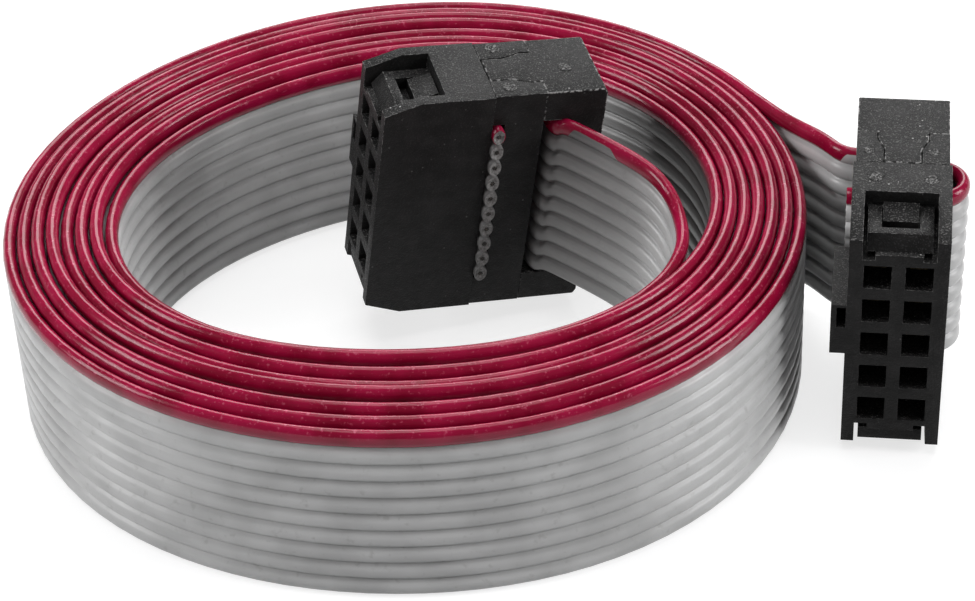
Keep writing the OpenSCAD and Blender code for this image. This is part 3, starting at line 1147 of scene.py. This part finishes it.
@dataclass
class Studio:
    """Camera at the photograph's angle, pale floor and soft light."""

    shift: np.ndarray
    elevation: float = 36.54
    distance: float = 196.13
    roll: float = -2.368
    focal_px: float = 2849.9
    width_px: float = 975.0
    height_px: float = 601.0
    principal: tuple = (510.6, 293.93)
    sensor: float = 36.0
    surround: float = 0.17
    clip: tuple = (0.005, 20.0)
    floor_half: float = 3.0
    floor_drop: float = 0.02
    lamps: tuple = (
        ("back", (0.05, 0.66, 0.56), 0.6, 6.5),
        ("overhead", (0.0, -0.02, 0.9), 0.5, 3.2),
        ("left_side", (-0.75, -0.1, 0.35), 0.34, 3.5),
        ("right_side", (0.75, -0.15, 0.35), 0.34, 4.2),
    )

    def camera(self) -> bpy.types.Object:
        """Makes the camera and returns it."""
        e, ro = math.radians(self.elevation), math.radians(self.roll)
        forward = np.array([0.0, math.cos(e), -math.sin(e)])
        level, over = np.array([1.0, 0.0, 0.0]), np.array([0.0, math.sin(e), math.cos(e)])
        right = math.cos(ro) * level + math.sin(ro) * over
        up = -math.sin(ro) * level + math.cos(ro) * over
        data = bpy.data.cameras.new("camera")
        data.sensor_width = self.sensor
        data.lens = self.focal_px / self.width_px * self.sensor
        data.shift_x = (self.width_px / 2 - self.principal[0]) / self.width_px
        data.shift_y = (self.principal[1] - self.height_px / 2) / self.width_px
        data.clip_start, data.clip_end = self.clip
        camera = bpy.data.objects.new("camera", data)
        bpy.context.scene.collection.objects.link(camera)
        place = -forward * self.distance * MM + self.shift
        columns = np.column_stack([right, up, -forward])
        camera.matrix_world = Matrix.Translation(Vector(place)) @ Matrix(columns.tolist()).to_4x4()
        bpy.context.scene.camera = camera
        return camera

    def floor(self, finish: bpy.types.Material) -> bpy.types.Object:
        """Makes the floor.

        Args:
            finish: Its material.

        Returns:
            The floor.
        """
        half = self.floor_half
        mesh = bpy.data.meshes.new("floor")
        corners = [(-half, -half, 0), (half, -half, 0), (half, half, 0), (-half, half, 0)]
        mesh.from_pydata(corners, [], [(0, 1, 2, 3)])
        mesh.materials.append(finish)
        floor = bpy.data.objects.new("floor", mesh)
        floor.location.z = -self.floor_drop * MM
        bpy.context.scene.collection.objects.link(floor)
        return floor

    def lights(self) -> None:
        """Adds lamps behind, overhead and at both sides, and the surround that the camera sees white."""
        for name, place, size, watts in self.lamps:
            self._lamp(name, place, size, watts)
        world = bpy.data.worlds.new("surround")
        world.use_nodes = True
        nodes, links = world.node_tree.nodes, world.node_tree.links
        sky = nodes["Background"]
        sky.inputs["Color"].default_value = (1.0, 1.0, 1.0, 1.0)
        path = nodes.new("ShaderNodeLightPath")
        strength = nodes.new("ShaderNodeMapRange")
        strength.inputs["To Min"].default_value, strength.inputs["To Max"].default_value = self.surround, 1.0
        links.new(path.outputs["Is Camera Ray"], strength.inputs["Value"])
        links.new(strength.outputs["Result"], sky.inputs["Strength"])
        bpy.context.scene.world = world

    def _lamp(self, name: str, place: tuple, size: float, watts: float) -> None:
        """Adds one square area lamp aimed at the object.

        Args:
            name: The lamp's name.
            place: Where it hangs, in metres.
            size: The side of its square in metres.
            watts: Its power.
        """
        data = bpy.data.lights.new(name, "AREA")
        data.size, data.energy = size, watts
        lamp = bpy.data.objects.new(name, data)
        lamp.location = place
        lamp.rotation_euler = (-Vector(place)).to_track_quat("-Z", "Y").to_euler()
        bpy.context.scene.collection.objects.link(lamp)


def main() -> None:
    """Builds the scene in order: camera, cable, sockets, floor and light."""
    logging.basicConfig(level=logging.INFO, format="%(name)s: %(message)s")
    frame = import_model()
    bpy.context.scene.view_settings.view_transform = "Standard"

    ribbon = Ribbon()
    inner = SocketPlace(
        Side.INNER,
        at=(-11.28, 0.42, 3.43),
        side_lean=5.8,
        back_lean=7.0,
        turn=14.8,
        flipped=True,
        slant=5.8,
        bend=45.9,
        bend_r=0.72,
        inset=-0.77,
    )
    outer = SocketPlace(
        Side.OUTER,
        at=(20.5503, -18.146, 0.0),
        side_lean=0.0,
        back_lean=0.0,
        turn=-8.5,
        flipped=False,
        slant=11.5,
        bend=50.0,
        bend_r=1.93,
    )
    route = CableRoute(ribbon, Coil(), Fold(ribbon), inner, outer)
    coil_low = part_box("cable_coil")[0]
    edge = (route.low - np.array([ribbon.thickness / 2, ribbon.thickness / 2, 0])) * MM
    shift = np.array([coil_low.x - edge[0], coil_low.y - edge[1], 0.0])
    LOG.info("frame shift %s mm", np.round(shift / MM, 4))
    studio = Studio(shift)
    studio.camera()

    metal = SpringMetal().material()
    body, cover = MouldedBlack("black_body").material(), MouldedBlack("black_cover").material()
    worn = MouldedBlack("black_edge", chipped=0.65, marks=()).material()
    inner_socket = Socket(Side.INNER, body, cover, worn, metal)
    outer_socket = Socket(Side.OUTER, body, cover, worn, metal)
    inner_socket.build(frame["nodes"])
    wire = CutWire().material()
    cable = FlatCable(route, shift, GreyJacket().material(), RedInk().material(), CutJacket().material())
    cable.build(outer_socket.build(frame["nodes"]))
    for side in Side:
        ConductorEnds(route, shift, wire).build(side)
    studio.floor(PalePaper().material())
    studio.lights()


if __name__ == "__main__":
    main()
